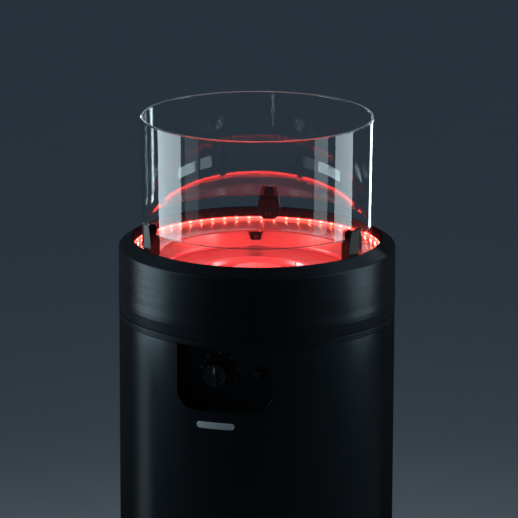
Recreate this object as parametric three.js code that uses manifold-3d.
// A round gas fire column: a steel drum with a door for the bottle, a burner dish lit by an LED ring,
// and a glass cylinder that stands in three holders. Millimetres, +Z up, the front faces -Y, and the
// origin is on the floor under the centre.

import * as THREE from "three";
import { mergeVertices } from "three/addons/utils/BufferGeometryUtils.js";
import Module from "manifold-3d";

const wasm = await Module();
wasm.setup();

// ---------------------------------------------------------------- driving dimensions

const GAP = 0.3; // clearance between pieces that touch
const SHEET = 1.5; // sheet steel
const FACETS = 60; // round a full circle
const STEP = 360 / FACETS;

const RING_Z = 1000; // inner top edge of the collar
const COLLAR_R = 215;
const LIP_R = 192.7; // inner lip of the collar
const LIP_DEPTH = 17.7;
const LED_Z = RING_Z - LIP_DEPTH - 3; // underside of the light ring
const BEVEL_DROP = 14.4; // from the lip down to the outer edge
const COLLAR_HEIGHT = 114.3;
const BEAD_R = 215.8; // swelling round the foot of the collar

const SHELL_R = 214.6;
const SHELL_IN = SHELL_R - SHEET;
const SHELL_TOP = 875;
const DECK_Z = 879; // underside of the top deck
const DECK_R = 211.2;
const DECK_HOLE_R = 58;
const DECK_RIM_R = 208.8; // outside of the upstand that centres the collar
const SEAM_ANGLE = 87; // each side of the front
const SEAM_GAP = 1.2;

const SKIRT_R = 216;
const SKIRT_IN = SKIRT_R - 3;
const SKIRT_TOP = 66;
const SKIRT_BOTTOM = 20;
const SHELL_BOTTOM = SKIRT_TOP + 0.6;
const PAN_Z = 54; // underside of the base pan
const PAN_TOP = PAN_Z + 2;

const GLASS_R = 178.5;
const GLASS_TOP_R = 180.4;
const GLASS_WALL = 5;
const GLASS_Z = RING_Z + 22.3;
const GLASS_TOP = 1190;
const HOLDER_ANGLES = [98, 218, 338];

const DISH_EDGE_R = 196.6;
const CREASE_R = 151;
const CREASE_Z = RING_Z - 29;
const FLOOR_Z = RING_Z - 57;
const WELL_R = 93;
const WELL_Z = RING_Z - 68.7;
const BURNER_Z = RING_Z - 54; // top of the burner head
const ELECTRODE_R = 60;
const ELECTRODE_ANGLE = 20; // each side of +X

const WINDOW_HALF = 74; // half width of the control window
const WINDOW_DEPTH = 101;
const WINDOW_CORNER = 30;
const PANEL_Y = -152; // front face of the control panel
const PANEL_WALL = 2;
const PANEL_BACK = PANEL_Y + PANEL_WALL + GAP; // where the valve and the igniter start
const KNOB_X = -20;
const IGNITER_X = 42;
const CONTROL_Z = 822;
const KNOB_FRONT = -184;

const HINGE = { x: 203.5, y: 10 };
const DOOR_BOTTOM = SHELL_BOTTOM;
const HANDLE_ANGLE = 168;
const HANDLE_Z = 480;

const WHEEL_R = 25;
const WHEEL_X = 80;
const AXLE_Y = 182;
const AXLE_Z = WHEEL_R + 1.5; // clear of the floor until the heater is tilted
const AXLE_R = 4;

// ---------------------------------------------------------------- materials

const finish = (color, roughness, metalness) => () =>
  new THREE.MeshStandardMaterial({ color, roughness, metalness });
const powderCoat = finish(0x0d0e10, 0.35, 0.2);
const spunBlack = finish(0x15171a, 0.3, 0.7);
const bareSteel = finish(0x9a9c9f, 0.35, 1);
const polished = finish(0xb8b4b0, 0.2, 1);
const brass = finish(0xb08a3c, 0.35, 1);
const blackPlastic = finish(0x101112, 0.5, 0);
const rubber = finish(0x161616, 0.85, 0);
const ceramic = finish(0xe6e2d8, 0.4, 0);
const emitter = finish(0xff3a2c, 0.4, 0);

function glassFinish() {
  return new THREE.MeshStandardMaterial({
    color: 0xdfe9e6,
    roughness: 0.03,
    metalness: 0,
    transparent: true,
    opacity: 0.3,
  });
}

// ---------------------------------------------------------------- geometry helpers

const rad = THREE.MathUtils.degToRad;

// The signed volume of an indexed geometry, positive when its faces point out.
function signedVolume(geometry) {
  const p = geometry.attributes.position;
  const a = new THREE.Vector3();
  const b = new THREE.Vector3();
  const c = new THREE.Vector3();
  let sum = 0;
  for (let i = 0; i < geometry.index.count; i += 3) {
    a.fromBufferAttribute(p, geometry.index.getX(i));
    b.fromBufferAttribute(p, geometry.index.getX(i + 1));
    c.fromBufferAttribute(p, geometry.index.getX(i + 2));
    sum += a.dot(b.cross(c));
  }
  return sum;
}

// One closed solid with shared corners and its faces pointing out.
function closed(geometry) {
  const bare = new THREE.BufferGeometry();
  bare.setAttribute("position", geometry.attributes.position);
  bare.setIndex(geometry.index);
  const merged = mergeVertices(bare, 1e-3);
  if (signedVolume(merged) < 0) {
    const index = merged.index.array;
    for (let i = 0; i < index.length; i += 3) {
      [index[i + 1], index[i + 2]] = [index[i + 2], index[i + 1]];
    }
  }
  return merged;
}

function toSolid(geometry) {
  const merged = closed(geometry);
  return new wasm.Manifold(
    new wasm.Mesh({
      numProp: 3,
      vertProperties: merged.attributes.position.array,
      triVerts: new Uint32Array(merged.index.array),
    }),
  );
}

function fromSolid(solid) {
  const mesh = solid.getMesh();
  const geometry = new THREE.BufferGeometry();
  geometry.setAttribute("position", new THREE.BufferAttribute(mesh.vertProperties, 3));
  geometry.setIndex(new THREE.BufferAttribute(mesh.triVerts, 1));
  return geometry;
}

function cut(geometry, ...tools) {
  return fromSolid(tools.reduce((solid, tool) => solid.subtract(toSolid(tool)), toSolid(geometry)));
}

function join(geometry, ...others) {
  return fromSolid(others.reduce((solid, other) => solid.add(toSolid(other)), toSolid(geometry)));
}

function within(geometry, limit) {
  return fromSolid(toSolid(geometry).intersect(toSolid(limit)));
}

// A profile of [radius, z] points turned about +Z.
function turned(profile, facets = FACETS) {
  const points = profile.map(([r, z]) => new THREE.Vector2(r, z));
  return new THREE.LatheGeometry(points, facets).rotateX(Math.PI / 2);
}

// A ring's profile closes on itself.
function ring(profile, facets = FACETS) {
  return turned([...profile, profile[0]], facets);
}

function disc(radius, z0, z1, facets = 24) {
  return turned([[0, z0], [radius, z0], [radius, z1], [0, z1]], facets);
}

// A disc whose axis runs along +X, at height z.
function discX(radius, x0, x1, z) {
  return disc(radius, x0, x1, 16).rotateY(Math.PI / 2).translate(0, 0, z);
}

// A disc whose axis runs along +Y.
function discY(radius, y0, y1, facets = 24) {
  return disc(radius, y0, y1, facets).rotateX(-Math.PI / 2);
}

function box(width, depth, height, x = 0, y = 0, z = 0) {
  return new THREE.BoxGeometry(width, depth, height).translate(x, y, z);
}

// Points on a circle about the origin, on the same facets as every other ring.
function arc(radius, from, to) {
  const inner = [];
  for (let k = Math.floor(from / STEP) + 1; k * STEP < to - 0.01; k += 1) inner.push(k * STEP);
  return [from, ...inner, to].map(
    (angle) => new THREE.Vector2(radius * Math.cos(rad(angle)), radius * Math.sin(rad(angle))),
  );
}

// A curved wall between two radii, two angles and two heights.
function sector(rIn, rOut, from, to, z0, z1) {
  const outline = [...arc(rOut, from, to), ...arc(rIn, from, to).reverse()];
  return prism(outline, z1 - z0).translate(0, 0, z0);
}

// An outline in X and Y, extruded up +Z.
function prism(outline, height) {
  const shape = new THREE.Shape(outline);
  return new THREE.ExtrudeGeometry(shape, { depth: height, bevelEnabled: false, curveSegments: 6 });
}

// A flat outline of [x, z] pairs or a Shape in X and Z, as a plate that runs from y0 to y1.
function upright(shape, y0, y1) {
  const outline = Array.isArray(shape) ? new THREE.Shape(shape.map(([x, z]) => new THREE.Vector2(x, z))) : shape;
  return new THREE.ExtrudeGeometry(outline, { depth: y1 - y0, bevelEnabled: false, curveSegments: 8 })
    .rotateX(Math.PI / 2)
    .translate(0, y1, 0);
}

// A round bar along a smooth path through the given points.
function rod(points, radius, steps, sides = 10) {
  const path = new THREE.CatmullRomCurve3(points.map((p) => new THREE.Vector3(...p)), false, "centripetal");
  const section = [];
  for (let k = 0; k < sides; k += 1) {
    const angle = (2 * Math.PI * k) / sides;
    section.push(new THREE.Vector2(radius * Math.cos(angle), radius * Math.sin(angle)));
  }
  return new THREE.ExtrudeGeometry(new THREE.Shape(section), { extrudePath: path, steps, bevelEnabled: false });
}

// A coil spring about +Z.
function coil(radius, wire, height, turns) {
  const points = [];
  const perTurn = 10;
  for (let k = 0; k <= turns * perTurn; k += 1) {
    const angle = (2 * Math.PI * k) / perTurn;
    points.push([radius * Math.cos(angle), radius * Math.sin(angle), (height * k) / (turns * perTurn)]);
  }
  return rod(points, wire, turns * perTurn, 5);
}

const heater = new THREE.Group();

function add(name, geometry, material, position = [0, 0, 0], parent = heater) {
  const mesh = new THREE.Mesh(closed(geometry), material());
  mesh.name = name;
  mesh.position.set(...position);
  parent.add(mesh);
  return mesh;
}

// A group that faces outwards at an angle: its +X runs out along the radius.
function spoke(angle) {
  const group = new THREE.Group();
  group.rotation.z = rad(angle);
  heater.add(group);
  return group;
}

// ---------------------------------------------------------------- base

const SEAM_RIGHT = -90 + SEAM_ANGLE;
const SEAM_LEFT = -90 - SEAM_ANGLE + 360;
const HALF_SEAM = THREE.MathUtils.radToDeg(SEAM_GAP / 2 / SHELL_R);

function basePan() {
  add("base_pan", disc(SKIRT_IN - 2 * GAP, PAN_Z, PAN_TOP, FACETS), powderCoat);
}

function baseSkirt() {
  const wall = ring([
    [SKIRT_IN, SKIRT_BOTTOM], [SKIRT_R - 1, SKIRT_BOTTOM], [SKIRT_R, SKIRT_BOTTOM + 1.5],
    [SKIRT_R, SKIRT_TOP - 2], [SKIRT_R - 1.4, SKIRT_TOP], [SKIRT_IN, SKIRT_TOP],
  ]);
  const arches = [-WHEEL_X, WHEEL_X].map((x) => box(30, 60, 38, x, AXLE_Y + 15, SKIRT_BOTTOM + 18));
  add("base_skirt", cut(wall, ...arches), blackPlastic);
}

function feet() {
  const places = { front_left: -126, front_right: -54, rear_right: 36, rear_left: 144 };
  for (const [where, angle] of Object.entries(places)) {
    add("foot_" + where, turned([
      [0, 0], [14, 0], [16, 2], [16, 11], [13, 14], [5, 14], [5, PAN_Z - GAP], [0, PAN_Z - GAP],
    ], 20), rubber, [185, 0, 0], spoke(angle));
  }
}

function wheels() {
  const half = WHEEL_X + 19;
  const axle = turned([
    [0, -half], [6, -half], [6, -half + 3], [AXLE_R, -half + 3], [AXLE_R, half - 3], [6, half - 3],
    [6, half], [0, half],
  ], 20).rotateY(Math.PI / 2);
  add("axle", axle, bareSteel, [0, AXLE_Y, AXLE_Z]);
  for (const [side, x] of [["left", -WHEEL_X], ["right", WHEEL_X]]) {
    const hub = ring([
      [AXLE_R + GAP, -11], [9, -11], [10, -7], [16, -6], [17, -8], [18, -8], [18, 8], [17, 8], [16, 6], [10, 7],
      [9, 11], [AXLE_R + GAP, 11],
    ], 20).rotateY(Math.PI / 2);
    add("wheel_hub_" + side, hub, blackPlastic, [x, AXLE_Y, AXLE_Z]);
    const tyre = ring([
      [18 + GAP, -9], [22, -10], [24.2, -8], [WHEEL_R, -4], [WHEEL_R, 4], [24.2, 8], [22, 10], [18 + GAP, 9],
    ], 24).rotateY(Math.PI / 2);
    add("wheel_tyre_" + side, tyre, rubber, [x, AXLE_Y, AXLE_Z]);
    const bracket = join(
      box(3, 24, PAN_Z - GAP - 17, 0, 0, (PAN_Z - GAP + 17) / 2),
      box(22, 24, 2.5, x < 0 ? 9.5 : -9.5, 0, PAN_Z - GAP - 1.25),
    );
    const hole = new THREE.CylinderGeometry(AXLE_R + GAP, AXLE_R + GAP, 10, 20)
      .rotateZ(Math.PI / 2)
      .translate(0, 0, AXLE_Z);
    add("axle_bracket_" + side, cut(bracket, hole), bareSteel, [x < 0 ? -63 : 63, AXLE_Y, 0]);
  }
}

// ---------------------------------------------------------------- frame and shells

function posts() {
  const leg = 14;
  const outerFace = 209.6;
  const outline = (turn) => [
    [outerFace, -leg], [outerFace, leg], [outerFace - 2, leg], [outerFace - 2, -leg + 2],
    [188, -leg + 2], [188, -leg],
  ].map(([x, y]) => new THREE.Vector2(x, y * turn));
  const height = DECK_Z - PAN_TOP - 2 * GAP;
  for (const [side, angle, turn] of [["right", SEAM_RIGHT - 8.5, 1], ["left", SEAM_LEFT + 8.5, -1]]) {
    add("post_" + side, prism(outline(turn), height), powderCoat, [0, 0, PAN_TOP + GAP], spoke(angle));
  }
}

function windowOutline(halfWidth, bottom, top, corner) {
  const shape = new THREE.Shape();
  shape.moveTo(halfWidth, top);
  shape.lineTo(-halfWidth, top);
  shape.lineTo(-halfWidth, bottom + corner);
  shape.absarc(-halfWidth + corner, bottom + corner, corner, Math.PI, 1.5 * Math.PI, false);
  shape.absarc(halfWidth - corner, bottom + corner, corner, 1.5 * Math.PI, 2 * Math.PI, false);
  shape.lineTo(halfWidth, top);
  return shape;
}

function frontShell() {
  const from = SEAM_LEFT - 360 + HALF_SEAM;
  const to = SEAM_RIGHT - HALF_SEAM;
  const sheet = sector(SHELL_IN, SHELL_R, from, to, SHELL_BOTTOM, SHELL_TOP);
  const opening = windowOutline(WINDOW_HALF, SHELL_TOP - WINDOW_DEPTH, SHELL_TOP + 5, WINDOW_CORNER);
  add("front_shell", cut(sheet, upright(opening, -SHELL_R - 10, -150)), powderCoat);
}

function rearDoor() {
  const from = SEAM_RIGHT + HALF_SEAM;
  const to = SEAM_LEFT - HALF_SEAM;
  const flange = 198.5;
  const pressed = ring([
    [flange, DOOR_BOTTOM], [SHELL_R, DOOR_BOTTOM], [SHELL_R, SHELL_TOP], [flange, SHELL_TOP],
    [flange, SHELL_TOP - SHEET], [SHELL_IN, SHELL_TOP - SHEET], [SHELL_IN, DOOR_BOTTOM + SHEET],
    [flange, DOOR_BOTTOM + SHEET],
  ]);
  const span = sector(150, 260, from, to, DOOR_BOTTOM - 10, SHELL_TOP + 10);
  const edge = sector(flange + 0.4, SHELL_R - 0.6, to - 0.5, to - 0.1, DOOR_BOTTOM + 0.7, SHELL_TOP - 0.7);
  const body = join(within(pressed, span), edge);
  const pinHole = (z) => new THREE.CylinderGeometry(4.3, 4.3, 20, 20)
    .rotateX(Math.PI / 2)
    .translate(HINGE.x, HINGE.y, z);
  const vents = [];
  for (const z of [150, 800]) {
    for (let angle = 62; angle <= 118; angle += 7) {
      vents.push(box(60, 7, 60, SHELL_R, 0, z).rotateZ(rad(angle)));
    }
  }
  const handle = box(60, 30, 90, SHELL_R, 0, HANDLE_Z).rotateZ(rad(HANDLE_ANGLE));
  add("rear_door", cut(body, pinHole(DOOR_BOTTOM), pinHole(SHELL_TOP), handle, ...vents), powderCoat);
}

function doorHandle() {
  const cup = box(20, 40, 100, 202.5, 0, HANDLE_Z).rotateZ(rad(HANDLE_ANGLE));
  const pocket = box(20, 29.4, 89.4, 204.5, 0, HANDLE_Z).rotateZ(rad(HANDLE_ANGLE));
  const limit = disc(SHELL_IN - GAP, HANDLE_Z - 60, HANDLE_Z + 60, FACETS);
  add("door_handle", cut(within(cup, limit), pocket), blackPlastic);
}

function doorHinges() {
  for (const [end, z] of [["bottom", DOOR_BOTTOM + SHEET + GAP], ["top", SHELL_TOP - SHEET - GAP - 3]]) {
    const plate = sector(195, SHELL_IN - GAP, SEAM_RIGHT + 1.5, 9, z, z + 3);
    const hole = disc(4.05, z - 5, z + 8, 24).translate(HINGE.x, HINGE.y, 0);
    add("door_hinge_" + end, cut(plate, hole), bareSteel);
    const [low, high] = end === "bottom" ? [PAN_TOP + GAP, z + 7] : [z - 4, DECK_Z - GAP];
    add("hinge_pin_" + end, disc(4, low, high), bareSteel, [HINGE.x, HINGE.y, 0]);
  }
}

function doorCatch() {
  const magnet = sector(197, 210.5, SEAM_LEFT + 1.2, SEAM_LEFT + 4.2, HANDLE_Z - 20, HANDLE_Z + 20);
  add("door_magnet", magnet, blackPlastic);
}

function topDeck() {
  const face = DECK_Z + 2;
  const rimTop = DECK_Z + 24;
  add("top_deck", ring([
    [DECK_HOLE_R, DECK_Z], [DECK_R, DECK_Z], [DECK_R, face], [DECK_RIM_R, face], [DECK_RIM_R, rimTop],
    [DECK_RIM_R - 2, rimTop], [DECK_RIM_R - 2, face], [DECK_HOLE_R, face],
  ]), powderCoat);
}

function trimBand() {
  const inner = DECK_R + 0.4;
  const outer = SHELL_R + 0.2;
  const foot = SHELL_TOP + 0.5;
  const top = SHELL_TOP + 9.8;
  const profile = [[inner, foot], [outer, foot], [outer, top - 1.3], [outer - 0.9, top], [inner, top]];
  add("trim_band", ring(profile), spunBlack);
}

// ---------------------------------------------------------------- collar, dish and burner

function collar() {
  const wall = 1.8;
  const lip = LIP_R + wall;
  const outerWall = COLLAR_R - wall;
  const foot = DECK_RIM_R + 0.5;
  add("collar", ring([
    [LIP_R, -LIP_DEPTH], [LIP_R, -1.2], [LIP_R + 1.2, 0], [213, -BEVEL_DROP + 1.4], [COLLAR_R, -BEVEL_DROP - 3],
    [COLLAR_R, -83], [BEAD_R, -90], [BEAD_R, -97], [BEAD_R - 0.8, -105], [BEAD_R - 1.5, -COLLAR_HEIGHT],
    [foot, -COLLAR_HEIGHT], [outerWall, -104], [outerWall, -BEVEL_DROP - 3.6], [lip, -3], [lip, -LIP_DEPTH],
  ]), spunBlack, [0, 0, RING_Z]);
}

function ledRing() {
  const inner = LIP_R + 0.7;
  const outer = inner + 3;
  add("led_ring", ring([[inner, 0], [outer, 0], [outer, 2.6], [inner, 2.6]]), emitter, [0, 0, LED_Z]);
}

function dish() {
  const edgeZ = LED_Z - GAP;
  const bowl = ring([
    [DISH_EDGE_R, edgeZ], [CREASE_R, CREASE_Z], [150, FLOOR_Z], [WELL_R, FLOOR_Z - 2], [WELL_R - 4, WELL_Z],
    [24, WELL_Z], [24, WELL_Z - SHEET], [WELL_R - 2.8, WELL_Z - SHEET], [WELL_R + 1.1, FLOOR_Z - 3.6],
    [151.6, FLOOR_Z - SHEET], [152.5, CREASE_Z - 1.3], [DISH_EDGE_R, edgeZ - SHEET],
  ]);
  const holes = [-ELECTRODE_ANGLE, ELECTRODE_ANGLE].map((angle) =>
    disc(3.6, WELL_Z - 10, WELL_Z + 10, 12).translate(ELECTRODE_R, 0, 0).rotateZ(rad(angle)));
  add("dish", cut(bowl, ...holes), polished);
}

function innerCan() {
  const outer = 198.4;
  const inner = outer - SHEET;
  const foot = DECK_Z + 2 + GAP;
  const top = RING_Z - 25;
  add("inner_can", ring([
    [184, foot], [outer, foot], [outer, top], [190, top], [190, top - SHEET], [inner, top - SHEET],
    [inner, foot + SHEET], [184, foot + SHEET],
  ]), bareSteel);
}

// A cap over the tube, open at its foot, with radial slots that let the flame out.
function burner() {
  const rim = BURNER_Z - 14;
  const cap = turned([
    [0, BURNER_Z - 2.5], [39, BURNER_Z - 2.5], [51.6, BURNER_Z - 10], [51.6, rim], [54, rim],
    [54, BURNER_Z - 9], [40, BURNER_Z], [0, BURNER_Z],
  ], 24);
  const slots = [];
  const count = 12;
  for (let k = 0; k < count; k += 1) {
    slots.push(box(6, 18, 30, 46.5, 0, BURNER_Z - 5).rotateZ((2 * Math.PI * k) / count));
  }
  add("burner_head", cut(cap, ...slots), bareSteel);
}

function burnerTube() {
  const radius = 22;
  const foot = 800;
  const top = BURNER_Z - 4;
  const tube = ring([
    [9.4, foot], [radius, foot], [radius, top], [radius - 1.8, top], [radius - 1.8, foot + 3], [9.4, foot + 3],
  ], 24);
  const airWindows = [0, 90].map((turn) => box(60, 14, 20, 0, 0, foot + 22).rotateZ(rad(turn)));
  const arms = [0, 120, 240].map((turn) => box(30.4, 4, 3, 35.7, 0, BURNER_Z - 12).rotateZ(rad(turn)));
  add("burner_tube", join(cut(tube, ...airWindows), ...arms), bareSteel);
  const strap = box(60, 150, 2, 0, 0, DECK_Z + 3 + GAP);
  add("burner_bracket", cut(strap, disc(radius + 0.4, DECK_Z, DECK_Z + 10)), bareSteel);
  add("injector", join(disc(9, foot - 14, foot + 6, 6), disc(4, foot + 5, foot + 16, 12)), brass);
}

// A probe stands in the well: a body that passes through the dish, and a thin tip above it.
function probe(name, angle, bodyR, bodyTop, tipR, tipTop, material) {
  const body = disc(bodyR, WELL_Z - 20, bodyTop, 12);
  const tip = disc(tipR, bodyTop - 1, tipTop, 8);
  add(name, join(body, tip), material, [ELECTRODE_R, 0, 0], spoke(angle));
}

function ignition() {
  probe("electrode", ELECTRODE_ANGLE, 3, WELL_Z + 10, 1.2, RING_Z - 45, ceramic);
  probe("thermocouple", -ELECTRODE_ANGLE, 3.2, WELL_Z + 6, 1.6, RING_Z - 48, brass);
}

function receiver() {
  const hood = join(
    box(9, 19, 4, 145.2, 0, CREASE_Z - 3.2),
    box(7, 15, 13, 146.2, 0, CREASE_Z - 8.5),
  );
  add("ir_receiver", hood, blackPlastic, [0, 0, 0], spoke(105));
}

// ---------------------------------------------------------------- glass and its holders

function glass() {
  add("glass_cylinder", ring([
    [GLASS_R - GLASS_WALL, 0], [GLASS_R, 0], [GLASS_TOP_R, GLASS_TOP - GLASS_Z],
    [GLASS_TOP_R - GLASS_WALL, GLASS_TOP - GLASS_Z],
  ]), glassFinish, [0, 0, GLASS_Z]);
}

// A plate seen along the radius: tapered sides and a rounded foot.
function holderOutline(topHalf, wideHalf, top, wide, bottom) {
  const shape = new THREE.Shape();
  shape.moveTo(topHalf - 2, top);
  shape.lineTo(-topHalf + 2, top);
  shape.lineTo(-topHalf, top - 3);
  shape.lineTo(-wideHalf, wide);
  shape.bezierCurveTo(-wideHalf, wide - 14, -wideHalf + 7, bottom, -wideHalf + 13, bottom);
  shape.lineTo(wideHalf - 13, bottom);
  shape.bezierCurveTo(wideHalf - 7, bottom, wideHalf, wide - 14, wideHalf, wide);
  shape.lineTo(topHalf, top - 3);
  shape.lineTo(topHalf - 2, top);
  return shape;
}

function clipOutline() {
  const shape = new THREE.Shape();
  shape.moveTo(13, -14);
  shape.lineTo(13, 16);
  shape.lineTo(8.5, 20);
  shape.lineTo(8.5, 26.5);
  shape.absarc(0, 26.5, 8.5, 0, Math.PI, false);
  shape.lineTo(-8.5, 20);
  shape.lineTo(-13, 16);
  shape.lineTo(-13, -14);
  shape.lineTo(13, -14);
  return shape;
}

// An upright plate turned so that its thickness runs along +X, from x0 to x1.
function radialPlate(shape, x0, x1) {
  return upright(shape, x0, x1).rotateZ(-Math.PI / 2);
}

function holders() {
  HOLDER_ANGLES.forEach((angle, k) => {
    const group = new THREE.Group();
    group.rotation.z = rad(angle);
    group.position.z = RING_Z;
    heater.add(group);
    const back = radialPlate(holderOutline(13, 18.8, 36.5, 1, -19), 180.6, 186);
    const block = radialPlate(holderOutline(15, 18.8, 21.7, 1, -17), 172.6, 190.6);
    add("holder_" + (k + 1), join(back, block), blackPlastic, [0, 0, 0], group);
    const clip = cut(radialPlate(clipOutline(), 168.3, 172.3), discX(3.3, 160, 180, -6));
    add("glass_clip_" + (k + 1), clip, blackPlastic, [0, 0, 0], group);
    const screw = join(discX(5, 166.2, 168, -6), discX(3, 167, 172, -6));
    add("clip_screw_" + (k + 1), screw, bareSteel, [0, 0, 0], group);
  });
}

// ---------------------------------------------------------------- controls

// A black tray behind the window, open to the front, with holes for the knob and the igniter.
function controlPanel() {
  const width = 172;
  const wall = PANEL_WALL;
  const bottom = SHELL_TOP - WINDOW_DEPTH - 10;
  const top = SHELL_TOP;
  const outer = box(width, 70, top - bottom, 0, PANEL_Y + wall - 35, (top + bottom) / 2);
  const pocket = box(width - 2 * wall, 80, top - bottom, 0, PANEL_Y - 40, (top + bottom) / 2 + wall);
  const roof = box(width - 2 * wall, 46, wall, 0, PANEL_Y - 22, top - wall / 2);
  const limit = disc(SHELL_IN - GAP, bottom - 10, top + 10, FACETS);
  const tray = join(cut(within(outer, limit), pocket), within(roof, limit));
  const stemHole = discY(6.4, PANEL_Y - 10, PANEL_Y + 10).translate(KNOB_X, 0, CONTROL_Z);
  const igniterHole = discY(8.4, PANEL_Y - 10, PANEL_Y + 10).translate(IGNITER_X, 0, CONTROL_Z);
  add("control_panel", cut(tray, stemHole, igniterHole), blackPlastic);
}

// The valve and its stem, with the spring that the knob is pushed in against.
function gasValve() {
  const at = [KNOB_X, 0, CONTROL_Z];
  const stemR = 4;
  const nose = discY(15, PANEL_BACK, PANEL_BACK + 12);
  const block = box(44, 34, 40, 0, PANEL_BACK + 27, 0);
  const outlet = box(18, 30, 18, 0, PANEL_BACK + 57, -8);
  const bore = discY(stemR + 0.4, PANEL_BACK - 5, PANEL_BACK + 26);
  const springSeat = discY(10, PANEL_BACK - 5, PANEL_BACK + 9);
  add("gas_valve", cut(join(block, nose, outlet), bore, springSeat), brass, at);
  const stem = discY(stemR, KNOB_FRONT + 6, PANEL_BACK + 18);
  const flange = discY(2 * stemR, PANEL_BACK + 1, PANEL_BACK + 3);
  add("valve_stem", join(stem, flange), bareSteel, at);
  const spring = coil(6.4, 0.7, 3.4, 2).rotateX(-Math.PI / 2);
  add("knob_spring", spring, bareSteel, [KNOB_X, PANEL_BACK + 3.9, CONTROL_Z]);
}

function controlKnob() {
  const skirt = turned([
    [0, KNOB_FRONT], [17, KNOB_FRONT], [18.6, KNOB_FRONT + 2], [19.4, KNOB_FRONT + 18], [23, KNOB_FRONT + 20],
    [23, KNOB_FRONT + 24], [0, KNOB_FRONT + 24],
  ], 28).rotateX(-Math.PI / 2);
  const grip = box(7, 6, 34, 0, KNOB_FRONT - 0.5, 0);
  const bore = discY(4.05, KNOB_FRONT + 5.7, PANEL_Y);
  add("control_knob", cut(join(skirt, grip), bore), blackPlastic, [KNOB_X, 0, CONTROL_Z]);
}

// Gas comes in by the hose inlet under the valve and leaves by the pipe to the injector.
function gasLine() {
  const inletTop = CONTROL_Z - 20 - GAP;
  const nut = disc(9, inletTop - 29.7, inletTop, 6);
  const spigot = disc(6, inletTop - 43.7, inletTop - 28.7, 16);
  add("hose_inlet", join(nut, spigot), brass, [KNOB_X, PANEL_BACK + 27, 0]);
  const start = PANEL_BACK + 72 + GAP;
  const level = CONTROL_Z - 8;
  add("gas_pipe", rod([
    [KNOB_X, start, level], [KNOB_X, start + 14, level], [KNOB_X + 4, start + 34, level - 8],
    [KNOB_X + 10, -22, 776], [-4, -8, 764], [0, 0, 772], [0, 0, 786 - GAP],
  ], 4, 24, 8), bareSteel);
}

function igniter() {
  const at = [IGNITER_X, 0, CONTROL_Z];
  const back = PANEL_BACK + 42;
  const body = join(discY(13, PANEL_BACK, PANEL_BACK + 6), discY(10, PANEL_BACK + 5, back));
  add("igniter_body", cut(body, discY(7.4, PANEL_BACK - 5, PANEL_BACK + 24)), blackPlastic, at);
  const button = join(discY(7, PANEL_Y - 12, PANEL_BACK + 10), discY(4, PANEL_BACK + 9, PANEL_BACK + 15));
  add("igniter_button", button, blackPlastic, at);
  const spring = coil(5, 0.6, 8, 2).rotateX(-Math.PI / 2);
  add("igniter_spring", spring, bareSteel, [IGNITER_X, PANEL_BACK + 15.2, CONTROL_Z]);
  add("ignition_lead", rod([
    [IGNITER_X, back + GAP, CONTROL_Z], [IGNITER_X, back + 14, CONTROL_Z], [IGNITER_X + 8, -60, 840],
    [IGNITER_X + 9, -20, 860], [51, 10, 878], [55.4, 19, 894], [56.38, 20.52, 911],
  ], 1.6, 26, 6), rubber);
}

// The box of the light's cells and receiver, with a cover that unclips from its back.
function ledBox() {
  const at = [-112, -110, 800];
  const width = 60;
  const depth = 34;
  const height = 90;
  const wall = 2;
  const outer = box(width, depth, height);
  const pocket = box(width - 2 * wall, depth, height - 2 * wall, 0, wall + 8, 0);
  add("led_box", cut(outer, pocket), blackPlastic, at);
  const lid = box(width, wall, height, 0, depth / 2 + 1 + GAP, 0);
  const plug = box(width - 5, 4, height - 6, 0, depth / 2 - 1 + GAP, 0);
  add("battery_cover", join(lid, plug), blackPlastic, at);
}

function tiltSwitch() {
  const body = join(box(22, 30, 30, 0, 0, 15), disc(5, 28, 40, 16));
  add("tilt_switch", body, blackPlastic, [188, 0, PAN_TOP + GAP], spoke(212));
}

basePan();
baseSkirt();
feet();
wheels();
posts();
frontShell();
rearDoor();
doorHandle();
doorHinges();
doorCatch();
topDeck();
trimBand();
collar();
ledRing();
dish();
innerCan();
burner();
burnerTube();
ignition();
receiver();
glass();
holders();
controlPanel();
gasValve();
controlKnob();
gasLine();
igniter();
ledBox();
tiltSwitch();

export default heater;
